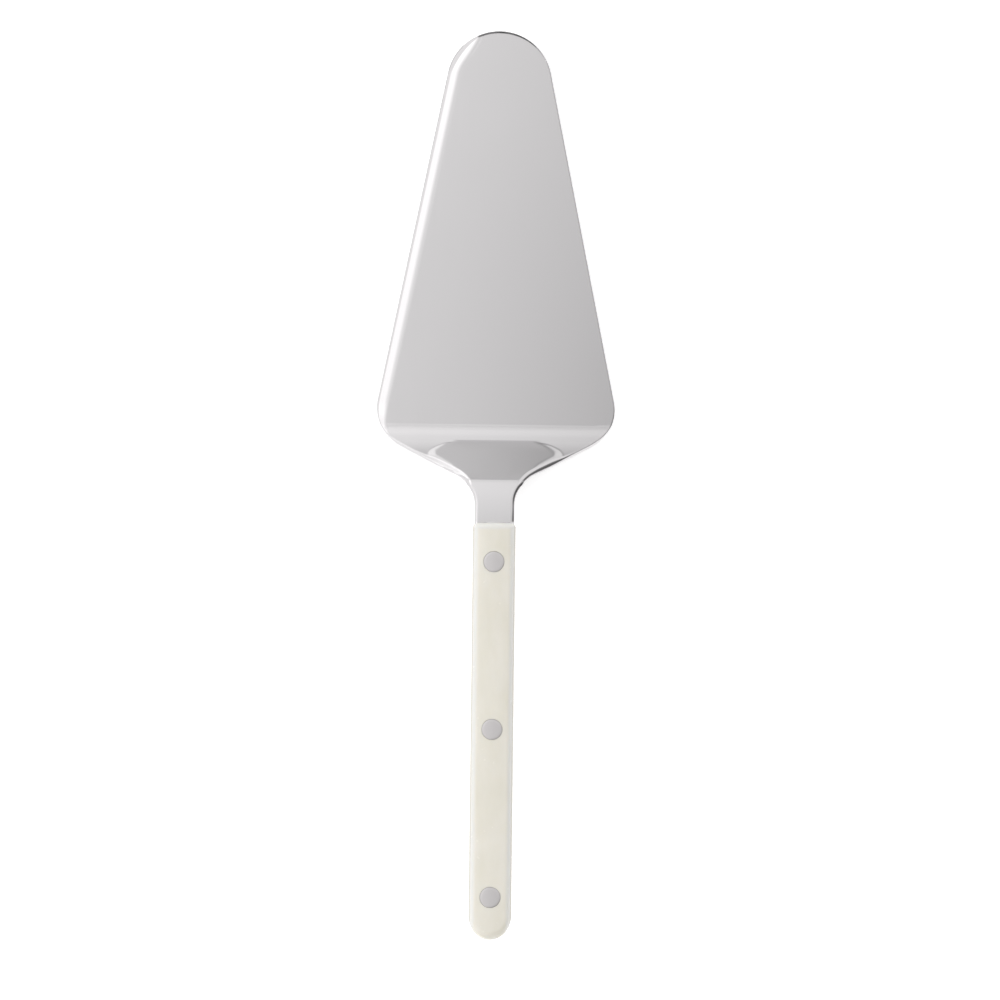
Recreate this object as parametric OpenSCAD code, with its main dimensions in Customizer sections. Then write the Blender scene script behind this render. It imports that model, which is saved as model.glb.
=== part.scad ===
// Cake server: a cranked steel blade with a full tang between two riveted handle scales.
// The blade lies flat on the ground plane, its tip towards +Y and its serving face up.

/* [Blade] */
// Length of the flat of the blade, from the tip to the crank's first bend
blade_length = 115.3; // [90:0.1:150]
// Width of the blade at its widest, near the crank
blade_width = 69.8; // [50:0.1:90]
// Thickness of the steel sheet
sheet_thickness = 2; // [1.2:0.1:3]
// Radius of the round tip, in plan
tip_radius = 15.3; // [8:0.1:20]
// Radius of the two rear corners, in plan
corner_radius = 12.4; // [8:0.1:18]
// How far the widest place lies in front of the first bend
corner_setback = 4.5; // [2:0.1:12]
// Length of the shoulders in plan, from the first bend back to the straight neck
shoulder_length = 23.3; // [20:0.1:28]
// Radius that blends each shoulder into the neck, in plan
neck_blend_radius = 10; // [5:0.1:13]

/* [Cutting edge] */
// Width of the ground bevel along the left edge
bevel_width = 3; // [1:0.1:5]
// Thickness left at the foot of the bevel
edge_land = 0.6; // [0.3:0.1:1]

/* [Crank and neck] */
// Steepness of the crank, in degrees
crank_angle = 38; // [30:1:50]
// Height that the crank lifts the neck over the blade
crank_rise = 10.4; // [8:0.1:18]
// Inside radius of the first bend, on the serving face
first_bend_radius = 8; // [3:0.1:12]
// Inside radius of the second bend, on the underside
second_bend_radius = 2.2; // [1:0.1:5]
// Width of the neck
neck_width = 11.5; // [8:0.1:12]
// Length of bare neck between the second bend and the handle
neck_length = 10.8; // [8:0.1:20]
// Slope of the neck and handle over the blade, in degrees
handle_slope = 9; // [4:0.5:15]

/* [Handle] */
// Length of the handle
handle_length = 121.6; // [100:0.1:150]
// Width of the handle
handle_width = 12.5; // [12.2:0.1:18]
// Thickness of each scale at its middle
scale_thickness = 4; // [3.6:0.1:6]
// Radius of the scales' gentle crown
crown_radius = 28; // [18:1:60]
// Radius of the scales' long edges
side_radius = 2.6; // [1:0.1:3]
// Radius of the scales' front edge
front_radius = 1.5; // [0.5:0.1:3]
// Radius of the front corners, in plan
front_corner_radius = 1.2; // [0.5:0.1:3]
// Length of the rounded butt
butt_length = 7.1; // [6.2:0.1:10]

/* [Rivets] */
// Diameter of the rivet heads
head_diameter = 6; // [5.2:0.1:8]
// Depth of a rivet head, from the crown of the scale to its seat
head_depth = 1.6; // [1:0.1:2.4]
// Outside diameter of the socket's tube
tube_diameter = 4.2; // [3.6:0.1:5]
// Diameter of the post's pin
pin_diameter = 2.8; // [1.5:0.1:3]
// Distance from the front of the handle to the first rivet
front_margin = 11.4; // [8:0.1:20]
// Distance from the butt to the last rivet
end_margin = 12.4; // [9:0.1:20]
// Clearance around a rivet in the scales and tang
rivet_clearance = 0.05; // [0.02:0.01:0.2]
// Clearance of the pressed pin in its tube
press_clearance = 0.01; // [0:0.01:0.05]
// Room left between the end of a pin or tube and the opposite head
end_room = 0.4; // [0.2:0.1:1]

/* [Hidden] */

$fn = 96;
// Angle between the points of a curve, in degrees
arc_step = 4;
// How far cutting shapes run past what they cut
overrun = 3;

// Side view: points are [y, z], with the first bend's line at y = 0
slope_along = [-cos(crank_angle), sin(crank_angle)];
slope_up = [sin(crank_angle), cos(crank_angle)];
handle_along = [-cos(handle_slope), sin(handle_slope)];
handle_up = [sin(handle_slope), cos(handle_slope)];
second_bend_outer = second_bend_radius + sheet_thickness;
bends_rise = first_bend_radius * (1 - cos(crank_angle))
           + second_bend_outer * (cos(handle_slope) - cos(crank_angle));
slope_length = (crank_rise - bends_rise) / sin(crank_angle);
first_bend_centre = [0, sheet_thickness + first_bend_radius];
slope_foot = first_bend_centre - first_bend_radius * slope_up;
slope_head = slope_foot + slope_length * slope_along;
second_bend_centre = slope_head - second_bend_outer * slope_up;
neck_start = second_bend_centre + second_bend_outer * handle_up;
// The handle's own origin: the middle of the sheet's thickness at the front of the scales
handle_origin = neck_start + neck_length * handle_along - sheet_thickness / 2 * handle_up;
tang_end = handle_origin + (handle_length + overrun) * handle_along;

// Plan of the blade: three circles a side, joined by their tangents
tip_centre = [0, blade_length - tip_radius];
corner_centre = [blade_width / 2 - corner_radius, corner_setback];
neck_blend_centre = [neck_width / 2 + neck_blend_radius, -shoulder_length];
to_tip = tip_centre - corner_centre;
to_neck = neck_blend_centre - corner_centre;
side_normal = atan2(to_tip.y, to_tip.x) - acos((corner_radius - tip_radius) / norm(to_tip));
shoulder_normal = atan2(to_neck.y, to_neck.x)
                + acos((corner_radius + neck_blend_radius) / norm(to_neck));
plan_end = handle_origin.x - overrun;

// Cross-section of a scale: points are [x, height over the middle of the tang]
scale_seat = sheet_thickness / 2;
scale_top = scale_seat + scale_thickness;
crown_centre = [0, scale_top - crown_radius];
edge_angle = acos((handle_width / 2 - side_radius) / (crown_radius - side_radius));
edge_centre = crown_centre + (crown_radius - side_radius) * [cos(edge_angle), sin(edge_angle)];
half_section = concat(
  [[0, scale_seat], [handle_width / 2, scale_seat]],
  arc(edge_centre, side_radius, 0, edge_angle),
  arc(crown_centre, crown_radius, edge_angle, 90)
);
butt_start = handle_length - butt_length;
butt_stretch = butt_length / (handle_width / 2);

// Rivets, at their distances from the front of the handle
head_seat = scale_top - head_depth;
last_rivet = handle_length - end_margin;
rivets = [
  ["neck_rivet", front_margin],
  ["middle_rivet", (front_margin + last_rivet) / 2],
  ["end_rivet", last_rivet],
];

// Middle of the whole length, which becomes the origin
butt_round = norm([side_radius * butt_stretch * cos(handle_slope), side_radius * sin(handle_slope)]);
butt_reach = (handle_length - side_radius * butt_stretch) * cos(handle_slope)
           + edge_centre.y * sin(handle_slope) + butt_round;
length_middle = (blade_length + handle_origin.x - butt_reach) / 2;

// Points along an arc
function arc(centre, radius, from, to) =
  let (steps = ceil(abs(to - from) / arc_step))
  [for (i = [0:steps]) let (turn = from + (to - from) * i / steps)
    centre + radius * [cos(turn), sin(turn)]];

// A half outline and its mirror image, as one closed outline
function both_sides(half) =
  concat(half, [for (i = [len(half) - 1:-1:0]) [-half[i].x, half[i].y]]);

// Puts the whole length's middle at the origin
module placed() {
  translate([0, -length_middle, 0]) children();
}

// The handle's own frame: along -Y from the front of the scales, up from the middle of the tang
module on_handle() {
  placed() translate([0, handle_origin.x, handle_origin.y]) rotate([-handle_slope, 0, 0]) children();
}

// Turns an outline drawn in side view into a slab as wide as the given width
module across(width) {
  translate([-width / 2, 0, 0]) rotate([90, 0, 90]) linear_extrude(width) children();
}

// The bent sheet in side view, extruded past both edges of the blade
module bent_sheet() {
  across(blade_width + overrun) polygon(concat(
    [[blade_length + overrun, sheet_thickness]],
    arc(first_bend_centre, first_bend_radius, -90, -90 - crank_angle),
    arc(second_bend_centre, second_bend_outer, 90 - crank_angle, 90 - handle_slope),
    [tang_end + sheet_thickness / 2 * handle_up, tang_end - sheet_thickness / 2 * handle_up],
    arc(second_bend_centre, second_bend_radius, 90 - handle_slope, 90 - crank_angle),
    arc(first_bend_centre, first_bend_radius + sheet_thickness, -90 - crank_angle, -90),
    [[blade_length + overrun, 0]]
  ));
}

// Plan of the blade, shoulders and neck
module blade_plan() {
  polygon(both_sides(concat(
    arc(tip_centre, tip_radius, 90, side_normal),
    arc(corner_centre, corner_radius, side_normal, shoulder_normal),
    arc(neck_blend_centre, neck_blend_radius, shoulder_normal + 180, 180),
    [[neck_width / 2, plan_end]]
  )));
}

// Plan of the handle: tang and scales share it
module handle_plan() {
  polygon(both_sides(concat(
    arc([handle_width / 2 - front_corner_radius, -front_corner_radius], front_corner_radius, 90, 0),
    [for (p = arc([0, 0], handle_width / 2, 0, -90)) [p.x, p.y * butt_stretch - butt_start]]
  )));
}

// What the grinding takes off along the left edge
module bevel_cut() {
  edge_foot = corner_centre + corner_radius * [cos(side_normal), sin(side_normal)];
  run = norm(to_tip);
  translate([-edge_foot.x, edge_foot.y, 0]) rotate([0, 0, -side_normal])
    translate([0, run + tip_radius, 0]) rotate([90, 0, 0])
      linear_extrude(run + tip_radius + corner_radius) polygon([
        [0, edge_land],
        [bevel_width, sheet_thickness],
        [bevel_width, sheet_thickness + overrun],
        [-overrun, sheet_thickness + overrun],
        [-overrun, edge_land],
      ]);
}

// A row of holes for the rivets, through the tang or a scale
module rivet_bores(diameter, from, to) {
  for (rivet = rivets)
    translate([0, -rivet[1], from]) cylinder(d = diameter + 2 * rivet_clearance, h = to - from);
}

module blade() {
  color("silver") difference() {
    intersection() {
      placed() bent_sheet();
      union() {
        placed() translate([0, 0, -overrun])
          linear_extrude(handle_origin.y + 2 * overrun) blade_plan();
        on_handle() translate([0, 0, -sheet_thickness])
          linear_extrude(2 * sheet_thickness) handle_plan();
      }
    }
    placed() bevel_cut();
    on_handle() rivet_bores(tube_diameter, -sheet_thickness, sheet_thickness);
  }
}

// A scale before it is drilled, in the handle's frame
module scale_body() {
  difference() {
    union() {
      rotate([90, 0, 0]) linear_extrude(butt_start) polygon(both_sides(half_section));
      translate([0, -butt_start, 0]) scale([1, butt_stretch, 1]) rotate([0, 0, 180])
        rotate_extrude(angle = 180) polygon(concat(half_section, [[0, scale_top]]));
    }
    across(handle_width + overrun) polygon(concat(
      [[overrun, scale_top + overrun], [overrun, scale_top - front_radius]],
      arc([-front_radius, scale_top - front_radius], front_radius, 0, 90),
      [[-front_radius, scale_top + overrun]]
    ));
    for (side = [0, 1]) mirror([side, 0, 0])
      linear_extrude(scale_top + overrun) polygon(concat(
        [[handle_width / 2 - front_corner_radius, overrun]],
        arc([handle_width / 2 - front_corner_radius, -front_corner_radius], front_corner_radius, 90, 0),
        [[handle_width / 2 + overrun, -front_corner_radius], [handle_width / 2 + overrun, overrun]]
      ));
  }
}

module drilled_scale() {
  difference() {
    scale_body();
    rivet_bores(tube_diameter, 0, scale_top);
    rivet_bores(head_diameter, head_seat, scale_top + overrun);
  }
}

module front_scale() {
  color("ivory") on_handle() drilled_scale();
}

module back_scale() {
  color("ivory") on_handle() mirror([0, 0, 1]) drilled_scale();
}

// A rivet head, ground flush with the crown of the scale
module rivet_head(along) {
  intersection() {
    translate([0, -along, head_seat]) cylinder(d = head_diameter, h = head_depth + overrun);
    scale_body();
  }
}

// The half with the tube, its head on the front scale
module rivet_socket(along) {
  color("lightgray") on_handle() difference() {
    union() {
      rivet_head(along);
      translate([0, -along, end_room - head_seat])
        cylinder(d = tube_diameter, h = 2 * head_seat - end_room);
    }
    translate([0, -along, -head_seat])
      cylinder(d = pin_diameter + 2 * press_clearance, h = 2 * head_seat);
  }
}

// The half with the pin, its head on the back scale
module rivet_post(along) {
  color("gainsboro") on_handle() union() {
    mirror([0, 0, 1]) rivet_head(along);
    translate([0, -along, -head_seat]) cylinder(d = pin_diameter, h = 2 * head_seat - end_room);
  }
}

blade();
front_scale();
back_scale();
for (rivet = rivets) {
  rivet_socket(rivet[1]);
  rivet_post(rivet[1]);
}
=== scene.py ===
"""A cake server: a cranked and ground steel blade, two resin scales and three two-part rivets."""

import math
from types import SimpleNamespace

import bmesh
import bpy
from bpy.props import FloatProperty, FloatVectorProperty, PointerProperty
from mathutils import Matrix, Vector


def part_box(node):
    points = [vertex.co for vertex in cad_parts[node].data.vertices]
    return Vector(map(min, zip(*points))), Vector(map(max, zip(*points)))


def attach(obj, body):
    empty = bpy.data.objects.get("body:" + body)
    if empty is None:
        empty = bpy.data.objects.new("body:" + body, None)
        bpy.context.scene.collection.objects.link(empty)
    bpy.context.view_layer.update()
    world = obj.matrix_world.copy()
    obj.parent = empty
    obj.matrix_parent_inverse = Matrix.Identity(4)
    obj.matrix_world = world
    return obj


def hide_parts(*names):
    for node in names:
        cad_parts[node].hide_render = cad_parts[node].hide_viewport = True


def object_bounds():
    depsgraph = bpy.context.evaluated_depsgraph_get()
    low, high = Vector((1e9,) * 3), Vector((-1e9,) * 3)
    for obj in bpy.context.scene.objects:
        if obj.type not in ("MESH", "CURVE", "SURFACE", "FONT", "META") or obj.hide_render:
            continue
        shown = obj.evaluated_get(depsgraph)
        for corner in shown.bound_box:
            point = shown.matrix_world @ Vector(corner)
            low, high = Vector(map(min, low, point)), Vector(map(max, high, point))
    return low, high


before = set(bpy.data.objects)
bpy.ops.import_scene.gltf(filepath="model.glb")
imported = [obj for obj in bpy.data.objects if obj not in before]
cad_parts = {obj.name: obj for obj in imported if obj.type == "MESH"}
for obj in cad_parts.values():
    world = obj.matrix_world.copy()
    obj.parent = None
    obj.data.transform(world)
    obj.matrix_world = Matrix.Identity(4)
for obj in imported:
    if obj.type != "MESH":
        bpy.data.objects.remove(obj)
CAD_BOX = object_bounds()
BLADE_LOW, BLADE_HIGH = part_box("blade")

bl_info = {
    "name": "Cake server",
    "version": (1, 0, 0),
    "blender": (4, 5, 0),
    "location": "3D View > Sidebar > Cake server",
    "description": "Models a cake server with a cranked blade and a riveted handle, and its stage",
    "category": "Add Mesh",
}

MM = 0.001
# Turn from one point of a drawn arc to the next
ARC_STEP = math.radians(3)
# Turn from one cross line of a bend to the next
BEND_STEP = math.radians(4)
# Points nearer than this are one point
SAME_POINT = 0.002 * MM
# Edges sharper than this stay sharp in the shading
SHARP_ANGLE = math.radians(40)
# Sides of a rivet and of its hole
RIVET_SIDES = 64
# Loops along the blade's rim, and how many of them lie on its broken edge or its round
RIM_LOOPS = 24
EDGE_LOOPS = 8
# Points along a straight shoulder, and along the neck
SHOULDER_STEPS = 12
NECK_STEPS = 10
# Spacing of the cuts where the slope meets the wings, and elsewhere on the slope and the neck
FINE_STEP = 0.15 * MM
COARSE_STEP = 1 * MM
# Power that spaces the loops past the edge, wider towards the flat
LOOP_SPREAD = 1.5
# Strips across a small round, and across the round of a scale's front edge
ROUND_STEPS = 3
FRONT_STEPS = 8
# Where a rivet head's face has its loops, as shares of its radius
HEAD_SHARES = (0, 0.35, 0.7, 1)
# Part of the length of the tang's slanted front corners that the neck's straight sides take up
NECK_SHARE = 0.25
# Part of the step between slope and wing that lies on the slope's side
STEP_INNER = 0.58
# Steepness of the broken edge, as fall over width
BREAK_SLOPE = 0.97
# Width of the camera's sensor, in millimetres as Blender takes it
SENSOR_WIDTH = 36


def linear(code):
    """The linear colour, with full alpha, of an sRGB hex value."""
    parts = [int(code[i:i + 2], 16) / 255 for i in (0, 2, 4)]
    return tuple(p / 12.92 if p <= 0.04045 else ((p + 0.055) / 1.055) ** 2.4 for p in parts) + (1.0,)


def size(name, description, default):
    """A length in metres."""
    return FloatProperty(name=name, description=description, default=default, min=0, precision=5,
                         unit="LENGTH", subtype="DISTANCE")


def ratio(name, description, default):
    """A plain number, such as a steepness."""
    return FloatProperty(name=name, description=description, default=default, min=0)


def turn(name, description, degrees):
    """An angle."""
    return FloatProperty(name=name, description=description, default=math.radians(degrees),
                         unit="ROTATION", subtype="ANGLE")


def colour(name, description, code):
    """A colour, from its sRGB hex value."""
    return FloatVectorProperty(name=name, description=description, default=linear(code), size=4,
                               min=0, max=1, subtype="COLOR")


class BladeSizes(bpy.types.PropertyGroup):
    """Sizes of the sheet that is blade, neck and tang in one piece."""

    width: size("Width", "Across the blade's rear corners", BLADE_HIGH.x - BLADE_LOW.x)
    length: size("Length", "From the first bend line to the tip", 115.3 * MM)
    thickness: size("Thickness", "Thickness of the sheet", 2 * MM)
    tip_radius: size("Tip radius", "Radius of the rounded tip", 15.3 * MM)
    corner_radius: size("Corner radius", "Radius of the two rear corners", 12.4 * MM)
    corner_setback: size("Corner setback", "From the first bend line to the corners' centres", 4.5 * MM)
    shoulder_length: size("Shoulder length", "From the first bend line to the neck's start", 23.3 * MM)
    neck_blend: size("Neck blend", "Radius between a shoulder and the neck", 10 * MM)
    neck_width: size("Neck width", "Across the neck", 11.5 * MM)
    neck_length: size("Neck length", "From the second bend to the handle's front", 10.8 * MM)
    crank_angle: turn("Crank angle", "Slope between the two bends", 38)
    crank_rise: size("Crank rise", "From the serving face up to the neck", 10.4 * MM)
    first_bend: size("First bend", "Radius of the first bend, on the serving face", 8 * MM)
    second_bend: size("Second bend", "Radius of the second bend, on the underside", 2.2 * MM)
    bevel_width: size("Bevel width", "Width of the ground cutting edge", 3 * MM)
    bevel_blend: size("Bevel blend", "Polished blend between the bevel and the serving face", 0.8 * MM)
    edge_land: size("Edge land", "Thickness that the bevel alone would leave at the edge", 0.6 * MM)
    bevel_end: size("Bevel end", "From the middle line to where the bevel stops at the tip", 5.9 * MM)
    bevel_taper: size("Bevel taper", "Width over which the bevel narrows at the tip", 6.9 * MM)
    bevel_start: size("Bevel start", "From the first bend line back to where the bevel starts", 4 * MM)
    bevel_widening: size("Bevel widening", "Length over which the bevel widens from its start", 10 * MM)
    edge_break: size("Edge break", "Width of the broken edge on the left and over the tip", 0.55 * MM)
    break_spread: size("Break spread", "Extra width of that edge at the left of the tip", 0.75 * MM)
    break_right: size("Break right", "Width of the broken edge along the right side", 0.18 * MM)
    break_end: size("Break end", "From the middle line to where the right side's width starts", 18 * MM)
    edge_left: size("Edge left", "Thickness left at the broken edge", 0.15 * MM)
    rim_round: size("Rim round", "Polished round along the blade's other edges", 0.25 * MM)
    shoulder_start: size("Shoulder start", "From the first bend line to where the rim widens", 8.3 * MM)
    shoulder_blend: size("Shoulder blend", "Length over which the rim changes", 4 * MM)
    shoulder_round: size("Shoulder round", "Polished round along the shoulders", 1.15 * MM)
    neck_round: size("Neck round", "Polished round along the neck", 1 * MM)
    rim_fall: ratio("Rim fall", "Steepness of the rounds at the outline", 1.0)
    shoulder_fall: ratio("Shoulder fall", "Steepness of the shoulders' round at the outline", 1.4)
    under_round: size("Under round", "Polished round along the underside", 0.25 * MM)
    wing_lag: ratio("Wing lag", "How much less steep the wings start than the slope", 0.11)
    wing_lead: size("Wing lead", "Last part of the first bend, which the wings lack", 0.75 * MM)
    wing_reach: size("Wing reach", "Length over which the wings get as steep as the slope", 5.5 * MM)
    dish_flat: size("Dish flat", "From the middle line to where the slope's upper edge curves", 11 * MM)
    dish_radius: size("Dish radius", "Radius of the slope's upper edge towards a shoulder", 12.5 * MM)
    dish_corner: size("Dish corner", "Radius of the slope's corners beside the shoulders", 2 * MM)
    dish_spread: ratio("Dish spread", "How fast the slope's edge leaves the shoulder", 0.09)
    dish_blend: size("Dish blend", "Width over which the slope's step and its crown start", 2.5 * MM)
    step_fall: ratio("Step fall", "Steepness of the step down from the slope to a wing", 0.22)
    slope_crown: size("Slope crown", "Radius of the slope across the blade", 1.6)
    neck_arch: size("Neck arch", "Rise of the neck's slight arch", 0.2 * MM)


class HandleSizes(bpy.types.PropertyGroup):
    """Sizes of the two scales on the tang."""

    slope: turn("Slope", "Rise of the handle from the blade's plane", 9)
    length: size("Length", "From the front of the scales to the butt", 121.6 * MM)
    width: size("Width", "Across the handle", 12.5 * MM)
    scale_thickness: size("Scale thickness", "From the tang to a scale's crown", 4 * MM)
    crown_radius: size("Crown radius", "Radius of a scale's gently crowned face", 28 * MM)
    side_radius: size("Side radius", "Radius of a scale's long edges", 2.6 * MM)
    front_round: size("Front round", "Radius along a scale's front edge", 1.5 * MM)
    front_corner: size("Front corner", "Length of the tang's slanted front corners", 1.2 * MM)
    butt_length: size("Butt length", "Length of the rounded butt", 7.1 * MM)
    hole_break: size("Hole break", "Broken edge of the rivet holes", 0.04 * MM)


class RivetSizes(bpy.types.PropertyGroup):
    """Sizes of the two-part rivets."""

    head_diameter: size("Head diameter", "Across a rivet head", 6 * MM)
    head_depth: size("Head depth", "Thickness of a rivet head", 1.6 * MM)
    tube_diameter: size("Tube diameter", "Across the tube of the socket half", 4.2 * MM)
    pin_diameter: size("Pin diameter", "Across the pin of the post half", 2.8 * MM)
    front_margin: size("Front margin", "From the handle's front to the first rivet", 11.4 * MM)
    end_margin: size("End margin", "From the last rivet to the butt", 12.4 * MM)
    clearance: size("Clearance", "Gap between a rivet and its hole", 0.05 * MM)
    press_clearance: size("Press clearance", "Gap between the pin and the tube", 0.01 * MM)
    end_room: size("End room", "Room past the end of the tube and the pin", 0.4 * MM)
    rim_round: size("Rim round", "Round along the rim of a head", 0.08 * MM)


class Finishes(bpy.types.PropertyGroup):
    """Colours of the materials and the stage."""

    steel: colour("Steel", "Polished stainless steel", "CFCDCE")
    rivet: colour("Rivet", "Ground stainless steel", "C3C0C0")
    resin: colour("Resin", "Ivory acrylic resin", "E7E3D9")
    resin_cloud: colour("Resin clouds", "Denser clouds in the resin", "E1DDD0")
    # Painted light: a paler colour for the resin's edges, standing in for light that enters them from
    # the side
    resin_edge_light: colour("Resin edges", "Edges of the resin, paler where light enters them", "E3E2DE")
    # Painted shade: a darker colour for the resin's outer sides
    resin_side_shade: colour("Resin rim", "Sides of the resin, duller than its polished face", "CCC8BF")
    floor: colour("Floor", "Opal acrylic of the light table", "F6F6F6")


class StageSizes(bpy.types.PropertyGroup):
    """The camera and the floor."""

    picture_width: size("Picture width", "What the picture shows at the handle's height", 291.48 * MM)
    picture_right: size("Picture right", "From the middle line to the picture's middle", 1.58 * MM)
    picture_back: size("Picture back", "From the server's middle to the picture's middle", 3.78 * MM)
    tilt: turn("Tilt", "Lean of the view from straight down towards the tip", 7.3)
    roll: turn("Roll", "Turn of the object in the picture", 0.66)
    lens: FloatProperty(name="Lens", description="Focal length on a 36 mm sensor", default=240,
                        unit="CAMERA")
    floor_size: size("Floor size", "Side of the square floor", 12.0)


def pen_line(bm, vert, end, steps=1):
    """Draws on from a vertex in a straight line."""
    start = vert.co.copy()
    for i in range(steps):
        vert = bmesh.ops.extrude_vert_indiv(bm, verts=[vert])["verts"][0]
        vert.co = start.lerp(end, (i + 1) / steps)
    return vert


def pen_arc(bm, vert, centre, angle, axis=(0, 0, 1)):
    """Draws on from a vertex along an arc about an axis."""
    drawn = bmesh.ops.spin(bm, geom=[vert], cent=centre, axis=axis, angle=angle,
                           steps=max(2, round(abs(angle) / ARC_STEP)))
    return next(v for v in drawn["geom_last"] if isinstance(v, bmesh.types.BMVert))


def eased(share):
    """A share of the way, held between none and all and eased at both ends."""
    share = min(max(share, 0.0), 1.0)
    return share * share * (3 - 2 * share)


def places(scene):
    """Points that follow from the sizes: plan points are (x, y), side-view points are (y, z)."""
    blade, handle, rivet = scene.server_blade, scene.server_handle, scene.server_rivet
    at = SimpleNamespace()
    # Side view
    crank, slope = blade.crank_angle, handle.slope
    crank_up = Vector((math.sin(crank), math.cos(crank)))
    crank_along = Vector((-math.cos(crank), math.sin(crank)))
    at.handle_up = Vector((math.sin(slope), math.cos(slope)))
    at.handle_along = Vector((-math.cos(slope), math.sin(slope)))
    second_outer = blade.second_bend + blade.thickness
    bends_rise = (blade.first_bend * (1 - math.cos(crank))
                  + second_outer * (math.cos(slope) - math.cos(crank)))
    slope_length = (blade.crank_rise - bends_rise) / math.sin(crank)
    at.tip = BLADE_HIGH.y
    at.bend = at.tip - blade.length
    at.first_centre = Vector((at.bend, blade.thickness + blade.first_bend))
    slope_head = at.first_centre - blade.first_bend * crank_up + slope_length * crank_along
    at.second_centre = slope_head - second_outer * crank_up
    neck_start = at.second_centre + second_outer * at.handle_up
    at.handle = neck_start + blade.neck_length * at.handle_along - blade.thickness / 2 * at.handle_up
    # On the underside of the sheet: the first bend's run, the second bend and the front of the scales
    at.bend_run = (blade.first_bend + blade.thickness) * crank_up.x
    at.slope_end = at.second_centre.x + blade.second_bend * crank_up.x
    at.neck_start = at.second_centre.x + blade.second_bend * at.handle_up.x
    at.tang_front = at.handle.x - blade.thickness / 2 * at.handle_up.x
    # Plan
    at.tip_centre = Vector((0, at.tip - blade.tip_radius))
    at.corner_centre = Vector((blade.width / 2 - blade.corner_radius, at.bend + blade.corner_setback))
    at.neck_centre = Vector((blade.neck_width / 2 + blade.neck_blend, at.bend - blade.shoulder_length))
    to_tip, to_neck = at.tip_centre - at.corner_centre, at.neck_centre - at.corner_centre
    at.side_normal = (math.atan2(to_tip.y, to_tip.x)
                      - math.acos((blade.corner_radius - blade.tip_radius) / to_tip.length))
    at.shoulder_normal = (math.atan2(to_neck.y, to_neck.x)
                          + math.acos((blade.corner_radius + blade.neck_blend) / to_neck.length))
    at.shoulder = Vector((math.cos(at.shoulder_normal), math.sin(at.shoulder_normal)))
    # Handle
    at.seat = blade.thickness / 2
    at.top = at.seat + handle.scale_thickness
    at.butt_start = handle.length - handle.butt_length
    at.butt_stretch = handle.butt_length / (handle.width / 2)
    at.crown_centre = at.top - handle.crown_radius
    at.edge_angle = math.acos((handle.width / 2 - handle.side_radius)
                              / (handle.crown_radius - handle.side_radius))
    at.head_seat = at.top - rivet.head_depth
    last = handle.length - rivet.end_margin
    at.rivets = {"neck": rivet.front_margin, "middle": (rivet.front_margin + last) / 2, "end": last}
    at.handle_frame = (Matrix.Translation((0, at.handle.x, at.handle.y))
                       @ Matrix.Rotation(-slope, 4, "X"))
    return at


def node(tree, kind, links=None, **settings):
    """Adds a shader node with its settings, and links or sets its inputs."""
    made = tree.nodes.new("ShaderNode" + kind)
    for name, value in settings.items():
        setattr(made, name, value)
    for socket, source in (links or {}).items():
        if isinstance(source, bpy.types.NodeSocket):
            tree.links.new(source, made.inputs[socket])
        else:
            made.inputs[socket].default_value = source
    return made


def new_material(name):
    """An empty material with its output, as (material, node tree, output)."""
    material = bpy.data.materials.new(name)
    material.use_nodes = True
    material.node_tree.nodes.clear()
    return material, material.node_tree, node(material.node_tree, "OutputMaterial")


def polished_stainless(finishes):
    """Stainless steel, polished along its length: a soft mirror with faint lengthwise lines."""
    material, tree, output = new_material("polished_stainless")
    place = node(tree, "TexCoord").outputs["Object"]
    # Polishing lines 0.25 mm apart and about 30 mm long
    across, along = 1 / (0.25 * MM), 1 / (30 * MM)
    stretched = node(tree, "Mapping", {"Vector": place, "Scale": (across, along, along)})
    lines = node(tree, "TexNoise", {"Vector": stretched.outputs[0], "Scale": 1.0, "Detail": 3.0})
    # Slow changes of the polish, some 25 mm across
    slow = node(tree, "TexNoise", {"Vector": place, "Scale": 1 / (25 * MM), "Detail": 1.0})
    rough = node(tree, "MapRange", {"Value": lines.outputs["Fac"], "To Min": 0.09, "To Max": 0.13})
    rough_slow = node(tree, "MapRange", {"Value": slow.outputs["Fac"], "To Min": -0.01, "To Max": 0.01})
    roughness = node(tree, "Math", {0: rough.outputs[0], 1: rough_slow.outputs[0]}, operation="ADD")
    relief = node(tree, "Bump", {
        "Height": lines.outputs["Fac"], "Strength": 0.02, "Distance": 0.01 * MM})
    shader = node(tree, "BsdfPrincipled", {
        "Base Color": tuple(finishes.steel), "Metallic": 1.0,
        "Roughness": roughness.outputs[0], "Normal": relief.outputs[0]})
    tree.links.new(shader.outputs[0], output.inputs["Surface"])
    return material


def ground_stainless(finishes):
    """Stainless steel, ground flush with the scales: dull, with fine lines along the handle."""
    material, tree, output = new_material("ground_stainless")
    place = node(tree, "TexCoord").outputs["Object"]
    # Belt lines 0.12 mm apart and about 4 mm long
    across, along = 1 / (0.12 * MM), 1 / (4 * MM)
    stretched = node(tree, "Mapping", {"Vector": place, "Scale": (across, along, along)})
    lines = node(tree, "TexNoise", {"Vector": stretched.outputs[0], "Scale": 1.0, "Detail": 2.0})
    rough = node(tree, "MapRange", {"Value": lines.outputs["Fac"], "To Min": 0.28, "To Max": 0.42})
    relief = node(tree, "Bump", {
        "Height": lines.outputs["Fac"], "Strength": 0.1, "Distance": 0.01 * MM})
    shader = node(tree, "BsdfPrincipled", {
        "Base Color": tuple(finishes.rivet), "Metallic": 1.0,
        "Roughness": rough.outputs[0], "Normal": relief.outputs[0]})
    tree.links.new(shader.outputs[0], output.inputs["Surface"])
    return material


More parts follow.
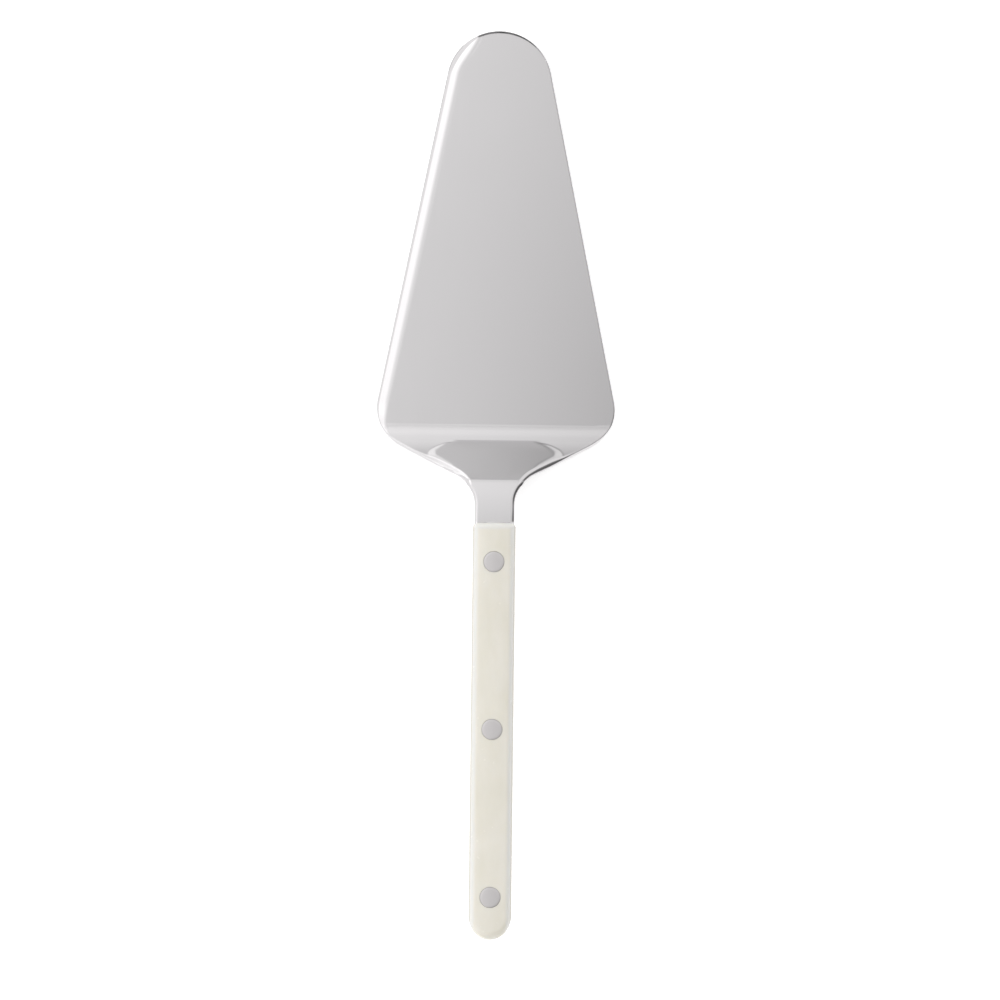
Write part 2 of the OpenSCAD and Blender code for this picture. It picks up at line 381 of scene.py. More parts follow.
def ivory_acrylic(finishes, handle, at):
    """Cast acrylic resin, polished: milky ivory with faint clouds, painted light along its edges and
    painted shade on its sides, under a soft gloss.
    """
    material, tree, output = new_material("ivory_acrylic")
    place = node(tree, "TexCoord").outputs["Object"]
    # Clouds of pigment about 9 mm across, drawn out along the handle
    drawn = node(tree, "Mapping", {
        "Vector": place, "Scale": (1 / (6 * MM), 1 / (14 * MM), 1 / (6 * MM))})
    clouds = node(tree, "TexNoise", {"Vector": drawn.outputs[0], "Scale": 1.0, "Detail": 3.0})
    share = node(tree, "MapRange", {"Value": clouds.outputs["Fac"], "From Min": 0.3, "From Max": 0.7})
    tint = node(tree, "Mix", {"Factor": share.outputs[0], "A": tuple(finishes.resin),
                              "B": tuple(finishes.resin_cloud)}, data_type="RGBA")
    # Painted light: paler within 2 mm of the long edges and of the front edge, standing in for light
    # that comes in from the side;
    # and painted shade: darker from 0.6 mm inside the sides
    parts = node(tree, "SeparateXYZ", {"Vector": place})
    across = node(tree, "Math", {0: parts.outputs["X"]}, operation="ABSOLUTE").outputs[0]
    bands = ((across, handle.width / 2 - 2 * MM, handle.width / 2 - 1 * MM),
             (parts.outputs["Y"], at.handle.x - 1.6 * MM, at.handle.x - 0.4 * MM),
             (across, handle.width / 2 - 0.6 * MM, handle.width / 2 - 0.2 * MM))
    side, front, rim = (
        node(tree, "MapRange", {"Value": value, "From Min": start, "From Max": end},
             interpolation_type="SMOOTHSTEP").outputs[0] for value, start, end in bands)
    edge = node(tree, "Math", {0: side, 1: front}, operation="MAXIMUM")
    # Painted light: the pale edge colour mixed in along the long edges and the front edge
    edge_lit = node(tree, "Mix", {"Factor": edge.outputs[0], "A": tint.outputs["Result"],
                               "B": tuple(finishes.resin_edge_light)}, data_type="RGBA")
    # Painted shade: the darker side colour mixed in over the outer 0.6 mm of the sides
    rim_shaded = node(tree, "Mix", {"Factor": rim, "A": edge_lit.outputs["Result"],
                                "B": tuple(finishes.resin_side_shade)}, data_type="RGBA")
    # Buffing ripple about 1.5 mm across
    ripple = node(tree, "TexNoise", {"Vector": place, "Scale": 1 / (1.5 * MM), "Detail": 1.0})
    rough = node(tree, "MapRange", {"Value": ripple.outputs["Fac"], "To Min": 0.2, "To Max": 0.3})
    relief = node(tree, "Bump", {
        "Height": ripple.outputs["Fac"], "Strength": 0.1, "Distance": 0.02 * MM})
    shader = node(tree, "BsdfPrincipled", {
        "Base Color": rim_shaded.outputs["Result"], "Roughness": rough.outputs[0], "IOR": 1.49,
        "Subsurface Weight": 0.2, "Subsurface Radius": (1.0, 0.9, 0.7), "Subsurface Scale": 1.5 * MM,
        "Normal": relief.outputs[0]})
    tree.links.new(shader.outputs[0], output.inputs["Surface"])
    return material


def opal_acrylic(finishes):
    """Opal acrylic of a light table, cast: matt and evenly pale, with a glow that thins shadows."""
    material, tree, output = new_material("opal_acrylic")
    place = node(tree, "TexCoord").outputs["Object"]
    # Cast mottle about 2 mm across
    mottle = node(tree, "TexNoise", {"Vector": place, "Scale": 1 / (2 * MM), "Detail": 2.0})
    relief = node(tree, "Bump", {
        "Height": mottle.outputs["Fac"], "Strength": 0.05, "Distance": 0.05 * MM})
    shader = node(tree, "BsdfPrincipled", {
        "Base Color": tuple(finishes.floor), "Roughness": 0.9, "Specular IOR Level": 0.2,
        "Emission Color": tuple(finishes.floor), "Emission Strength": 0.45,
        "Normal": relief.outputs[0]})
    tree.links.new(shader.outputs[0], output.inputs["Surface"])
    return material


def finish_mesh(bm, name, material):
    """Closes a bmesh into an object with its faces outward and its surface smooth."""
    bmesh.ops.remove_doubles(bm, verts=bm.verts[:], dist=SAME_POINT)
    bmesh.ops.recalc_face_normals(bm, faces=bm.faces[:])
    mesh = bpy.data.meshes.new(name)
    bm.to_mesh(mesh)
    bm.free()
    mesh.shade_smooth()
    mesh.materials.append(material)
    piece = bpy.data.objects.new(name, mesh)
    bpy.context.scene.collection.objects.link(piece)
    return piece


def even_normals(piece):
    """Keeps sharp edges sharp and lets large faces lead the shading, so that flats look flat."""
    piece.data.set_sharp_from_angle(angle=SHARP_ANGLE)
    modifier = piece.modifiers.new("Even normals", "WEIGHTED_NORMAL")
    modifier.weight = 100
    modifier.keep_sharp = True


def join_frame(piece, cad_node):
    """Puts a finished piece on the frame in place of its CAD node."""
    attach(piece, "root")
    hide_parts(cad_node)


def round_edges(bm, edges, radius, steps):
    """Rounds edges in a few steps."""
    bmesh.ops.bevel(bm, geom=edges, offset=radius, offset_type="OFFSET", affect="EDGES",
                    segments=steps, profile=0.5, material=-1)


def draw_sheet(bm, blade, handle, at):
    """Draws the outline of the flat sheet from above, tip to butt, and fills it."""
    cos_slope = math.cos(handle.slope)
    butt_start = at.tang_front - at.butt_start * cos_slope
    neck_end = at.tang_front - NECK_SHARE * handle.front_corner
    side = Vector((math.cos(at.side_normal), math.sin(at.side_normal)))
    pen = bm.verts.new((0, at.tip, 0))
    pen = pen_arc(bm, pen, at.tip_centre.to_3d(), at.side_normal - math.pi / 2)
    pen = pen_line(bm, pen, (at.corner_centre + blade.corner_radius * side).to_3d())
    pen = pen_arc(bm, pen, at.corner_centre.to_3d(), at.shoulder_normal - at.side_normal)
    pen = pen_line(bm, pen, (at.neck_centre - blade.neck_blend * at.shoulder).to_3d(), SHOULDER_STEPS)
    pen = pen_arc(bm, pen, at.neck_centre.to_3d(), -at.shoulder_normal)
    pen = pen_line(bm, pen, Vector((blade.neck_width / 2, neck_end, 0)), NECK_STEPS)
    pen = pen_line(bm, pen, Vector((handle.width / 2, at.tang_front - handle.front_corner, 0)))
    pen = pen_line(bm, pen, Vector((handle.width / 2, butt_start, 0)))
    pen_arc(bm, pen, (0, butt_start, 0), -math.pi / 2)
    bmesh.ops.scale(bm, vec=(1, at.butt_stretch * cos_slope, 1),
                    space=Matrix.Translation((0, -butt_start, 0)),
                    verts=[v for v in bm.verts if v.co.y < butt_start])
    bmesh.ops.mirror(bm, geom=bm.verts[:] + bm.edges[:], axis="X", merge_dist=SAME_POINT)
    bmesh.ops.remove_doubles(bm, verts=bm.verts[:], dist=SAME_POINT)
    bmesh.ops.contextual_create(bm, geom=bm.edges[:])


def bend_profile(blade, handle, at):
    """The underside of the bent sheet in side view, as (y, z) from the tip to the butt."""
    def bend(centre, radius, start, end):
        steps = round(abs(end - start) / BEND_STEP)
        turns = (start + (end - start) * i / steps for i in range(steps + 1))
        return [centre + radius * Vector((math.cos(t), math.sin(t))) for t in turns]

    down, up = -math.pi / 2, math.pi / 2
    end = at.handle + handle.length * at.handle_along - blade.thickness / 2 * at.handle_up
    return [Vector((at.tip, 0)),
            *bend(at.first_centre, blade.first_bend + blade.thickness, down, down - blade.crank_angle),
            *bend(at.second_centre, blade.second_bend, up - blade.crank_angle, up - handle.slope),
            end + blade.thickness * at.handle_along]


def rim_finish(blade, at, x, y):
    """Widths of the bevel, the broken edge and the polished round at a point of the rim."""
    behind = at.bend - y
    lead = (blade.bevel_start - behind) / blade.bevel_widening
    rim = SimpleNamespace(on_tang=y <= at.tang_front)

    # The ground bevel is narrower towards both ends
    share = min(max(min((-x - blade.bevel_end) / blade.bevel_taper, lead), 0), 1)
    rim.bevel = blade.bevel_width * share * (2 - share)

    # The broken edge is widest at the left of the tip, past half its radius, and fine on the right
    on_tip = eased(2 * (y - at.tip_centre.y) / blade.tip_radius)
    edge = blade.edge_break + blade.break_spread * on_tip * eased(share)
    rim.edge = eased(lead) * (edge + (blade.break_right - edge) * eased(x / blade.break_end))

    # The round is fine along the blade, steeper past the corners, and fuller on the shoulders and neck
    on_wing = eased(behind / blade.shoulder_start)
    on_shoulder = eased((behind - blade.shoulder_start) / blade.shoulder_blend)
    on_neck = eased((behind - blade.shoulder_length) / blade.shoulder_blend + 1)
    rim.round = blade.rim_round + (blade.shoulder_round - blade.rim_round) * on_shoulder
    rim.round += (blade.neck_round - rim.round) * on_neck
    rim.fall = blade.rim_fall + (blade.shoulder_fall - blade.rim_fall) * on_wing * (1 - on_neck)
    return rim


def edge_drop(blade, rim, inward):
    """How far the polished top lies below the sheet's face, at a distance in from the rim."""
    slope = (blade.thickness - blade.edge_land) / blade.bevel_width
    blend = min(blade.bevel_blend, rim.bevel)
    left = rim.bevel - max(inward, rim.edge)
    if left >= blend:
        drop = slope * left
    else:
        drop = slope * (left + blend) ** 2 / (4 * blend) if left > -blend else 0.0
    fall = 0.0
    if inward < rim.edge:
        steepest = (blade.thickness - blade.edge_left - drop) / rim.edge
        fall = min(BREAK_SLOPE, steepest) * (rim.edge - inward)
    if inward < rim.round and not rim.on_tang:
        fall = max(fall, rim.fall * (rim.round - inward) ** 2 / (2 * rim.round))
    return drop + fall


def pressed(blade, at, x, y):
    """How far the press left the sheet below its bent line, at a plan point."""
    behind = at.bend - at.bend_run - y
    if behind <= -blade.wing_lead or y <= at.tang_front:
        return 0.0
    if y < at.neck_start:
        along = (at.neck_start - y) / (at.neck_start - at.tang_front)
        return -4 * blade.neck_arch * along * (1 - along)

    # The wings stay less steep than the slope between them
    lead = min(behind, 0) + blade.wing_lead
    reach = min(max(behind, 0), blade.wing_reach)
    depth = blade.wing_lag * (lead ** 2 / (2 * blade.wing_lead)
                              + reach - reach ** 2 / (2 * blade.wing_reach))

    # The slope's edge: curved at the top, then round a corner and back to the neck's start
    aside = max(abs(x) - blade.dish_flat, 0)
    above = (aside ** 2 / (2 * blade.dish_radius) - behind) / math.hypot(1, aside / blade.dish_radius)
    place = Vector((abs(x), y)) - at.neck_centre + blade.neck_blend * at.shoulder
    beside = place.dot(at.shoulder) + blade.dish_spread * place.dot(at.shoulder.orthogonal())
    above, beside = above + blade.dish_corner, beside + blade.dish_corner
    outside = min(max(above, beside), 0) + math.hypot(max(above, 0), max(beside, 0)) - blade.dish_corner

    # The wings meet it in a step that is wider where it is deeper
    whole = 2 * depth / blade.step_fall
    inner, outer = STEP_INNER * whole, (1 - STEP_INNER) * whole
    if outside < 0:
        share = max(outside + inner, 0) ** 2 / (inner * whole)
    else:
        share = 1 - max(outer - outside, 0) ** 2 / (outer * whole)
    share *= eased(aside / blade.dish_blend)
    crown = x * x / (2 * blade.slope_crown)
    crown *= eased(behind / blade.dish_blend) * eased((y - at.slope_end) / blade.dish_blend)
    return depth * share + crown * (1 - share)


def polish_rim(bm, blade, at):
    """Insets a band along the whole rim and lets it fall away as the grinding and polishing left it."""
    band = blade.bevel_width + blade.bevel_blend
    sheet = bm.faces[:]
    bmesh.ops.inset_region(bm, faces=sheet, thickness=band, use_boundary=True, use_even_offset=True)
    inward = bm.verts.layers.float.new("inward")
    outer = bm.verts.layers.float_vector.new("outer")
    inner = bm.verts.layers.float_vector.new("inner")
    spokes = [e for e in bm.edges if e.verts[0].is_boundary != e.verts[1].is_boundary]
    for e in spokes:
        rim, foot = sorted(e.verts, key=lambda v: not v.is_boundary)
        foot[inward] = 1
        for v in (rim, foot):
            v[outer], v[inner] = rim.co, foot.co
    bmesh.ops.subdivide_edges(bm, edges=spokes, cuts=RIM_LOOPS - 1, use_grid_fill=True)
    for v in bm.verts:
        rim = rim_finish(blade, at, *v[outer].xy)
        edge = max(rim.edge, rim.round)
        loop = v[inward] * RIM_LOOPS
        if loop <= EDGE_LOOPS:
            distance = edge * loop / EDGE_LOOPS
        else:
            past_edge = (loop - EDGE_LOOPS) / (RIM_LOOPS - EDGE_LOOPS)
            distance = edge + (band - edge) * past_edge ** LOOP_SPREAD
        v.co = v[outer].lerp(v[inner], distance / band)
        v.co.z = blade.thickness - edge_drop(blade, rim, distance)


def spaced(start, end, step):
    """Places from start to end, both included, about a step apart."""
    count = max(1, round(abs(end - start) / step))
    return [start + (end - start) * i / count for i in range(count + 1)]


def cut_across(bm, faces, axis, cuts):
    """Cuts faces by planes square to an axis, and leaves them in one piece."""
    along = Vector((axis == "X", axis == "Y", 0))
    geom = faces + list({e for f in faces for e in f.edges}) + list({v for f in faces for v in f.verts})
    for cut in cuts:
        geom = bmesh.ops.bisect_plane(bm, geom=geom, dist=SAME_POINT, plane_co=cut * along,
                                      plane_no=along)["geom"]


def bend_sheet(bm, profile):
    """Bends the flat sheet to its side-view profile, keeping its thickness square to it."""
    def square(start, end):
        return Vector((end.y - start.y, start.x - end.x)).normalized()

    squares = [square(a, b) for a, b in zip(profile, profile[1:])]
    between = [(a + b) / (1 + a.dot(b)) for a, b in zip(squares, squares[1:])]
    mitres = [squares[0], *between, squares[-1]]
    last = len(squares) - 1
    for v in bm.verts:
        i = next((i for i in range(last) if v.co.y >= profile[i + 1].x - SAME_POINT), last)
        share = (profile[i].x - v.co.y) / (profile[i].x - profile[i + 1].x)
        base, up = profile[i].lerp(profile[i + 1], share), mitres[i].lerp(mitres[i + 1], share)
        v.co.yz = base + v.co.z * up


class CAKESERVER_OT_blade(bpy.types.Operator):
    """Makes the blade: a sheet cut to outline, bent twice, ground along its left edge and polished"""

    bl_idname = "cake_server.blade"
    bl_label = "Blade"

    def execute(self, context):
        scene = context.scene
        blade, handle, rivet = scene.server_blade, scene.server_handle, scene.server_rivet
        at = places(scene)
        profile = bend_profile(blade, handle, at)
        bm = bmesh.new()
        draw_sheet(bm, blade, handle, at)
        polish_rim(bm, blade, at)
        wall = bmesh.ops.extrude_edge_only(bm, edges=[e for e in bm.edges if e.is_boundary])["geom"]
        for v in wall:
            if isinstance(v, bmesh.types.BMVert):
                v.co.z = 0
        underside = bmesh.ops.holes_fill(bm, edges=[e for e in bm.edges if e.is_boundary])["faces"]
        bmesh.ops.recalc_face_normals(bm, faces=bm.faces[:])
        round_edges(bm, [e for f in underside for e in f.edges], blade.under_round, ROUND_STEPS)
        slope_start = at.bend - at.bend_run + blade.wing_lead
        wing_end = slope_start - blade.wing_lead - blade.wing_reach
        rows = ([station.x for station in profile[1:-1]] + spaced(slope_start, wing_end, FINE_STEP)
                + spaced(at.neck_start, at.tang_front, COARSE_STEP))
        cut_across(bm, bm.faces[:], "Y", rows)
        slope = [f for f in bm.faces if at.slope_end < f.calc_center_median().y < slope_start]
        columns = (spaced(COARSE_STEP, blade.dish_flat - COARSE_STEP, COARSE_STEP)
                   + spaced(blade.dish_flat, blade.dish_flat + blade.dish_radius, FINE_STEP))
        cut_across(bm, slope, "X", [0, *columns, *(-x for x in columns)])
        for v in bm.verts:
            v.co.z -= pressed(blade, at, v.co.x, v.co.y)
        bend_sheet(bm, profile)
        piece = finish_mesh(bm, "server_blade", polished_stainless(scene.server_finishes))
        bore = rivet.tube_diameter / 2 + rivet.clearance
        reach = blade.thickness
        drill(piece, [cutter([(0, -reach), (bore, -reach), (bore, reach), (0, reach)], at, along)
                      for along in at.rivets.values()])
        even_normals(piece)
        join_frame(piece, "blade")
        return {"FINISHED"}


def turned(bm, outline):
    """Turns a part from its half outline, given as (radius, height) from axis to axis."""
    pen = bm.verts.new((outline[0][0], 0, outline[0][1]))
    for radius, height in outline[1:]:
        pen = pen_line(bm, pen, (radius, 0, height))
    bmesh.ops.spin(bm, geom=bm.verts[:] + bm.edges[:], cent=(0, 0, 0), axis=(0, 0, 1),
                   angle=2 * math.pi, steps=RIVET_SIDES, use_merge=True)
    bmesh.ops.remove_doubles(bm, verts=bm.verts[:], dist=SAME_POINT)
    bmesh.ops.recalc_face_normals(bm, faces=bm.faces[:])


def follow_crown(bm, handle, above):
    """Lowers what lies above a height by as much as the scale's crown falls away there."""
    for v in bm.verts:
        if v.co.z > above:
            v.co.z -= handle.crown_radius - math.sqrt(handle.crown_radius ** 2 - v.co.x ** 2)


def cut_scale(bm, handle, at):
    """Draws a scale's cross-section, turns it round the butt and draws it out to the front."""
    pen = bm.verts.new((0, -at.butt_start, at.top))
    edge_centre = at.crown_centre + (handle.crown_radius - handle.side_radius) * math.sin(at.edge_angle)
    pen = pen_arc(bm, pen, (0, 0, at.crown_centre), math.pi / 2 - at.edge_angle, axis=(0, 1, 0))
    pen = pen_arc(bm, pen, (handle.width / 2 - handle.side_radius, 0, edge_centre), at.edge_angle,
                  axis=(0, 1, 0))
    pen_line(bm, pen, (handle.width / 2, -at.butt_start, at.seat))
    bmesh.ops.spin(bm, geom=bm.verts[:] + bm.edges[:], cent=(0, -at.butt_start, 0), axis=(0, 0, 1),
                   angle=-math.pi, steps=round(math.pi / ARC_STEP))
    bmesh.ops.remove_doubles(bm, verts=bm.verts[:], dist=SAME_POINT)
    bmesh.ops.scale(bm, vec=(1, at.butt_stretch, 1), space=Matrix.Translation((0, at.butt_start, 0)),
                    verts=bm.verts[:])
    section = [e for e in bm.edges if all(v.co.y > -at.butt_start - SAME_POINT for v in e.verts)]
    drawn = bmesh.ops.extrude_edge_only(bm, edges=section)["geom"]
    front = [v for v in drawn if isinstance(v, bmesh.types.BMVert)]
    bmesh.ops.translate(bm, vec=(0, at.butt_start, 0), verts=front)
    bmesh.ops.contextual_create(bm, geom=sorted(front, key=lambda v: v.co.z)[:2])
    bmesh.ops.holes_fill(bm, edges=[e for e in bm.edges if len(e.link_faces) < 2])
    bmesh.ops.recalc_face_normals(bm, faces=bm.faces[:])
    rim = [e for e in bm.edges if all(v in front for v in e.verts)
           and max(v.co.z for v in e.verts) > at.seat + SAME_POINT]
    round_edges(bm, rim, handle.front_round, FRONT_STEPS)


def cutter(outline, at, along, handle=None):
    """A turned cutter, in place; with the handle's sizes given, its top follows the crown."""
    bm = bmesh.new()
    turned(bm, outline)
    if handle:
        follow_crown(bm, handle, at.head_seat + SAME_POINT)
    bmesh.ops.translate(bm, vec=(0, -along, 0), verts=bm.verts[:])
    bmesh.ops.transform(bm, matrix=at.handle_frame, verts=bm.verts[:])
    mesh = bpy.data.meshes.new("cutter")
    bm.to_mesh(mesh)
    bm.free()
    tool = bpy.data.objects.new("cutter", mesh)
    bpy.context.scene.collection.objects.link(tool)
    return tool


def drill(piece, cutters):
    """Cuts the holes into a piece's mesh for good, and takes the cutters away."""
    for tool in cutters:
        cut = piece.modifiers.new("Rivet hole", "BOOLEAN")
        cut.object, cut.operation, cut.solver = tool, "DIFFERENCE", "EXACT"
    bpy.context.view_layer.update()
    result = piece.evaluated_get(bpy.context.evaluated_depsgraph_get())
    drilled = bpy.data.meshes.new_from_object(result)
    piece.modifiers.clear()
    piece.data = drilled
    # The cuts can leave two points in one place on the crown's middle line
    bm = bmesh.new()
    bm.from_mesh(drilled)
    bmesh.ops.remove_doubles(bm, verts=bm.verts[:], dist=SAME_POINT)
    bm.to_mesh(drilled)
    bm.free()
    for tool in cutters:
        bpy.data.objects.remove(tool)


class CAKESERVER_OT_scales(bpy.types.Operator):
    """Makes the two handle scales: crowned resin slabs with a rounded butt, drilled for the rivets"""

    bl_idname = "cake_server.scales"
    bl_label = "Handle scales"

    def execute(self, context):
        scene = context.scene
        handle, rivet = scene.server_handle, scene.server_rivet
        at = places(scene)
        resin = ivory_acrylic(scene.server_finishes, handle, at)
        bore = rivet.tube_diameter / 2 + rivet.clearance
        seat = rivet.head_diameter / 2 + rivet.clearance
        lip = handle.hole_break
        clear = at.top + rivet.head_depth
        hole = [(0, 0), (bore, 0), (bore, at.head_seat), (seat, at.head_seat), (seat, at.top - lip),
                (seat + 2 * lip, at.top + lip), (seat + 2 * lip, clear), (0, clear)]
        mirrored = at.handle_frame @ Matrix.Diagonal((1, 1, -1, 1)) @ at.handle_frame.inverted()
        scales = {"handle_scale_front": "front_scale", "handle_scale_back": "back_scale"}
        for name, cad_node in scales.items():
            bm = bmesh.new()
            cut_scale(bm, handle, at)
            bmesh.ops.transform(bm, matrix=at.handle_frame, verts=bm.verts[:])
            piece = finish_mesh(bm, name, resin)
            drill(piece, [cutter(hole, at, along, handle) for along in at.rivets.values()])
            if cad_node == "back_scale":
                piece.data.transform(mirrored)
                piece.data.flip_normals()
            even_normals(piece)
            join_frame(piece, cad_node)
        return {"FINISHED"}


class CAKESERVER_OT_rivets(bpy.types.Operator):
    """Makes the three rivets: each a socket half with a tube and a post half with a pin"""

    bl_idname = "cake_server.rivets"
    bl_label = "Rivets"

    def execute(self, context):
        scene = context.scene
        handle, rivet = scene.server_handle, scene.server_rivet
        at = places(scene)
        steel = ground_stainless(scene.server_finishes)
        head, tube, pin = rivet.head_diameter / 2, rivet.tube_diameter / 2, rivet.pin_diameter / 2
        bore = pin + rivet.press_clearance
        tube_end = rivet.end_room - at.head_seat
        face = [(head * share, at.top) for share in HEAD_SHARES]
        halves = {
            "socket": face + [(head, at.head_seat), (tube, at.head_seat), (tube, tube_end),
                              (bore, tube_end), (bore, at.head_seat), (0, at.head_seat)],
            "post": face + [(head, at.head_seat), (pin, at.head_seat), (pin, tube_end), (0, tube_end)],
        }
        for place, along in at.rivets.items():
            for half, outline in halves.items():
                bm = bmesh.new()
                turned(bm, outline)
                rim = [e for e in bm.edges if all(
                    v.co.z > at.head_seat + SAME_POINT and v.co.xy.length > head - SAME_POINT
                    for v in e.verts)]
                round_edges(bm, rim, rivet.rim_round, ROUND_STEPS)
                follow_crown(bm, handle, at.head_seat + SAME_POINT)
                bmesh.ops.translate(bm, vec=(0, -along, 0), verts=bm.verts[:])
                if half == "post":
                    bmesh.ops.scale(bm, vec=(1, 1, -1), verts=bm.verts[:])
                bmesh.ops.transform(bm, matrix=at.handle_frame, verts=bm.verts[:])
                piece = finish_mesh(bm, f"rivet_{place}_{half}", steel)
                even_normals(piece)
                join_frame(piece, f"{place}_rivet_{half}")
        return {"FINISHED"}


def studio_world(scene):
    """A pale studio: a bright ceiling over dark low walls, white screens, softboxes and a dark card."""
    world = bpy.data.worlds.new("pale_studio")
    scene.world = world
    world.use_nodes = True
    tree = world.node_tree
    tree.nodes.clear()
    output = node(tree, "OutputWorld")
    way = node(tree, "TexCoord").outputs["Generated"]
    parts = node(tree, "SeparateXYZ", {"Vector": way})
    right, ahead, up = (parts.outputs[axis] for axis in "XYZ")
    # The dark card stands on the right, behind
    card_way = (0.66, -0.62, 0.42)
    card = node(tree, "VectorMath", {0: way, 1: card_way}, operation="DOT_PRODUCT").outputs["Value"]
    even, soft = "LINEAR", "SMOOTHSTEP"
    # Each light or shade: how it joins those before it, and its ramps, which are multiplied together,
    # as (value, from, to, low, high, kind)
    lights = (
        # Walls: dark up to about 6 degrees, dim from 17 to 24 degrees and bright from 31 degrees
        ("ADD", [(up, 0.1, 0.3, 0.15, 0.7, soft)]),
        ("ADD", [(up, 0.4, 0.52, 0.0, 0.34, soft)]),
        # Ceiling: a bright bar just behind the middle, dim behind it, rising ahead, then falling
        ("MULTIPLY", [(ahead, -0.09, -0.06, 0.9, 1.04, soft)]),
        ("MULTIPLY", [(ahead, -0.045, 0.0, 1.0, 0.89, soft)]),
        ("MULTIPLY", [(ahead, 0.0, 0.3, 1.0, 1.22, even)]),
        ("MULTIPLY", [(ahead, 0.5, 0.8, 1.0, 0.925, soft)]),
        # It dims from left to right across the middle line, and evens out on both sides
        ("MULTIPLY", [(right, -0.018, 0.04, 1.18, 0.6, even)]),
        ("MULTIPLY", [(right, 0.05, 0.12, 1.0, 1.6, soft)]),
        ("MULTIPLY", [(right, -0.07, -0.02, 0.89, 1.0, soft)]),
        ("SUBTRACT", [(right, 0.004, 0.018, 0.0, 0.18, soft), (ahead, -0.101, -0.112, 0.0, 1.0, soft)]),
        # A softbox on the left, with a pale screen under it
        ("ADD", [(up, 0.97, 0.63, 0.0, 0.6, even), (up, 0.5, 0.6, 0.0, 1.0, soft),
                 (right, -0.08, -0.35, 0.0, 1.0, soft)]),
        ("MAXIMUM", [(right, -0.5, -0.66, 0.0, 1.2, soft), (up, 0.55, 0.45, 0.0, 1.0, soft)]),
        # A dimmer screen on the right, and a dark card in front of it
        ("MAXIMUM", [(right, 0.6, 0.8, 0.0, 0.55, soft)]),
        ("MULTIPLY", [(card, 0.62, 0.8, 1.0, 0.25, soft)]),
        # Low softboxes ahead and behind on the right, which even the light on the handle
        ("ADD", [(right, 0.45, 0.55, 0.0, 4.0, soft), (ahead, 0.33, 0.43, 0.0, 1.0, soft),
                 (up, 0.22, 0.3, 0.0, 1.0, soft), (up, 0.42, 0.36, 0.0, 1.0, soft)]),
        ("ADD", [(right, 0.05, 0.15, 0.0, 6.0, soft), (right, 0.42, 0.52, 1.0, 0.15, soft),
                 (ahead, -0.45, -0.55, 0.0, 1.0, soft), (up, 0.04, 0.08, 0.0, 1.0, soft),
                 (up, 0.3, 0.24, 0.0, 1.0, soft)]),
        # White strips ahead, a wide one on the left of the middle line and a narrow one on its right
        ("MAXIMUM", [(right, -0.045, -0.1, 0.0, 1.35, soft), (ahead, 0.82, 0.88, 0.0, 1.0, soft),
                     (up, 0.09, 0.15, 0.0, 1.0, soft)]),
        ("MAXIMUM", [(right, 0.045, 0.1, 0.0, 1.05, soft), (right, 0.24, 0.28, 1.0, 0.0, soft),
                     (ahead, 0.82, 0.88, 0.0, 1.0, soft), (up, 0.09, 0.15, 0.0, 1.0, soft)]),
    )
    level = 0.0
    for joins, ramps in lights:
        share = 1.0
        for value, start, end, low, high, kind in ramps:
            ramp = node(tree, "MapRange", {"Value": value, "From Min": start, "From Max": end,
                                           "To Min": low, "To Max": high}, interpolation_type=kind)
            share = node(tree, "Math", {0: share, 1: ramp.outputs[0]}, operation="MULTIPLY").outputs[0]
        level = node(tree, "Math", {0: level, 1: share}, operation=joins).outputs[0]
    back = node(tree, "Background", {"Color": (1.0, 1.0, 1.0, 1.0), "Strength": level})
    tree.links.new(back.outputs[0], output.inputs["Surface"])


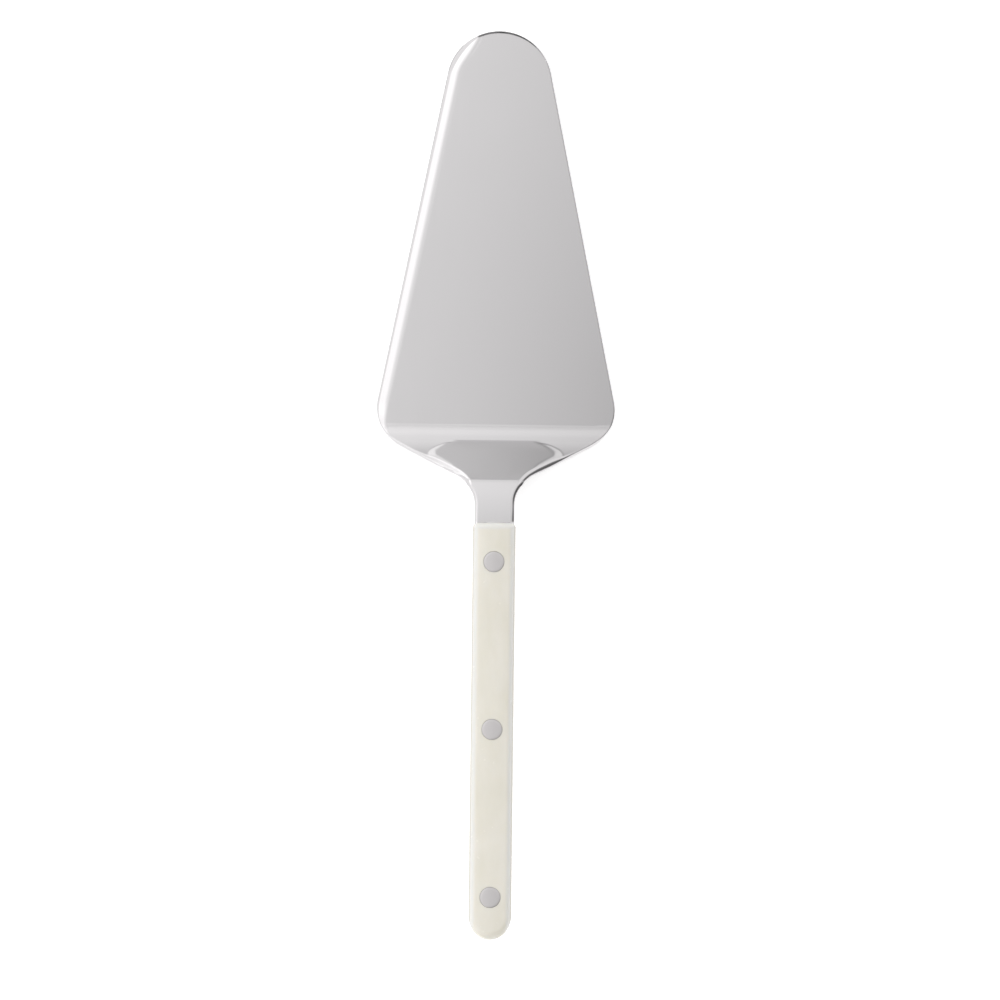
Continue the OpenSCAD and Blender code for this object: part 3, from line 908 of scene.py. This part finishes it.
class CAKESERVER_OT_stage(bpy.types.Operator):
    """Sets the stage: a pale light table, soft studio light and the camera over the server"""

    bl_idname = "cake_server.stage"
    bl_label = "Stage"

    def execute(self, context):
        scene = context.scene
        stage = scene.server_stage

        bm = bmesh.new()
        bmesh.ops.create_grid(bm, x_segments=1, y_segments=1, size=stage.floor_size / 2)
        floor = finish_mesh(bm, "table_floor", opal_acrylic(scene.server_finishes))

        studio_world(scene)

        # The camera looks down on the server, with the tip up in the picture
        up = Vector((0, math.cos(stage.tilt), -math.sin(stage.tilt)))
        back = Vector((0, math.sin(stage.tilt), math.cos(stage.tilt)))
        middle = (CAD_BOX[0] + CAD_BOX[1]) / 2
        target = middle + Vector((stage.picture_right, 0, 0)) - stage.picture_back * up
        camera = bpy.data.cameras.new("camera")
        camera.lens, camera.sensor_width = stage.lens, SENSOR_WIDTH
        viewer = bpy.data.objects.new("camera", camera)
        distance = stage.picture_width * camera.lens / camera.sensor_width
        turn_right = Matrix.Rotation(stage.roll, 3, back)
        axes = Matrix((turn_right @ Vector((1, 0, 0)), turn_right @ up, back)).transposed()
        viewer.matrix_world = Matrix.Translation(target + distance * back) @ axes.to_4x4()
        scene.collection.objects.link(viewer)
        scene.camera = viewer
        scene.view_settings.view_transform = "Standard"
        return {"FINISHED"}


class CAKESERVER_PT_panel(bpy.types.Panel):
    """Lists the pieces, the sizes and the colours of the cake server"""

    bl_idname = "CAKESERVER_PT_panel"
    bl_label = "Cake server"
    bl_space_type = "VIEW_3D"
    bl_region_type = "UI"
    bl_category = "Cake server"

    def draw(self, context):
        for operator in OPERATORS:
            self.layout.operator(operator.bl_idname)
        for name in GROUPS:
            group = getattr(context.scene, name)
            box = self.layout.box()
            for key in group.bl_rna.properties.keys():
                if key not in ("rna_type", "name"):
                    box.prop(group, key)


GROUPS = {
    "server_blade": BladeSizes,
    "server_handle": HandleSizes,
    "server_rivet": RivetSizes,
    "server_finishes": Finishes,
    "server_stage": StageSizes,
}
OPERATORS = (CAKESERVER_OT_blade, CAKESERVER_OT_scales, CAKESERVER_OT_rivets, CAKESERVER_OT_stage)
CLASSES = (*GROUPS.values(), *OPERATORS, CAKESERVER_PT_panel)


def register():
    for cls in CLASSES:
        bpy.utils.register_class(cls)
    for name, group in GROUPS.items():
        setattr(bpy.types.Scene, name, PointerProperty(type=group))


def unregister():
    for name in GROUPS:
        delattr(bpy.types.Scene, name)
    for cls in reversed(CLASSES):
        bpy.utils.unregister_class(cls)


def main():
    """Makes every piece and the stage."""
    register()
    bpy.ops.cake_server.blade()
    bpy.ops.cake_server.scales()
    bpy.ops.cake_server.rivets()
    bpy.ops.cake_server.stage()


if __name__ == "__main__":
    main()
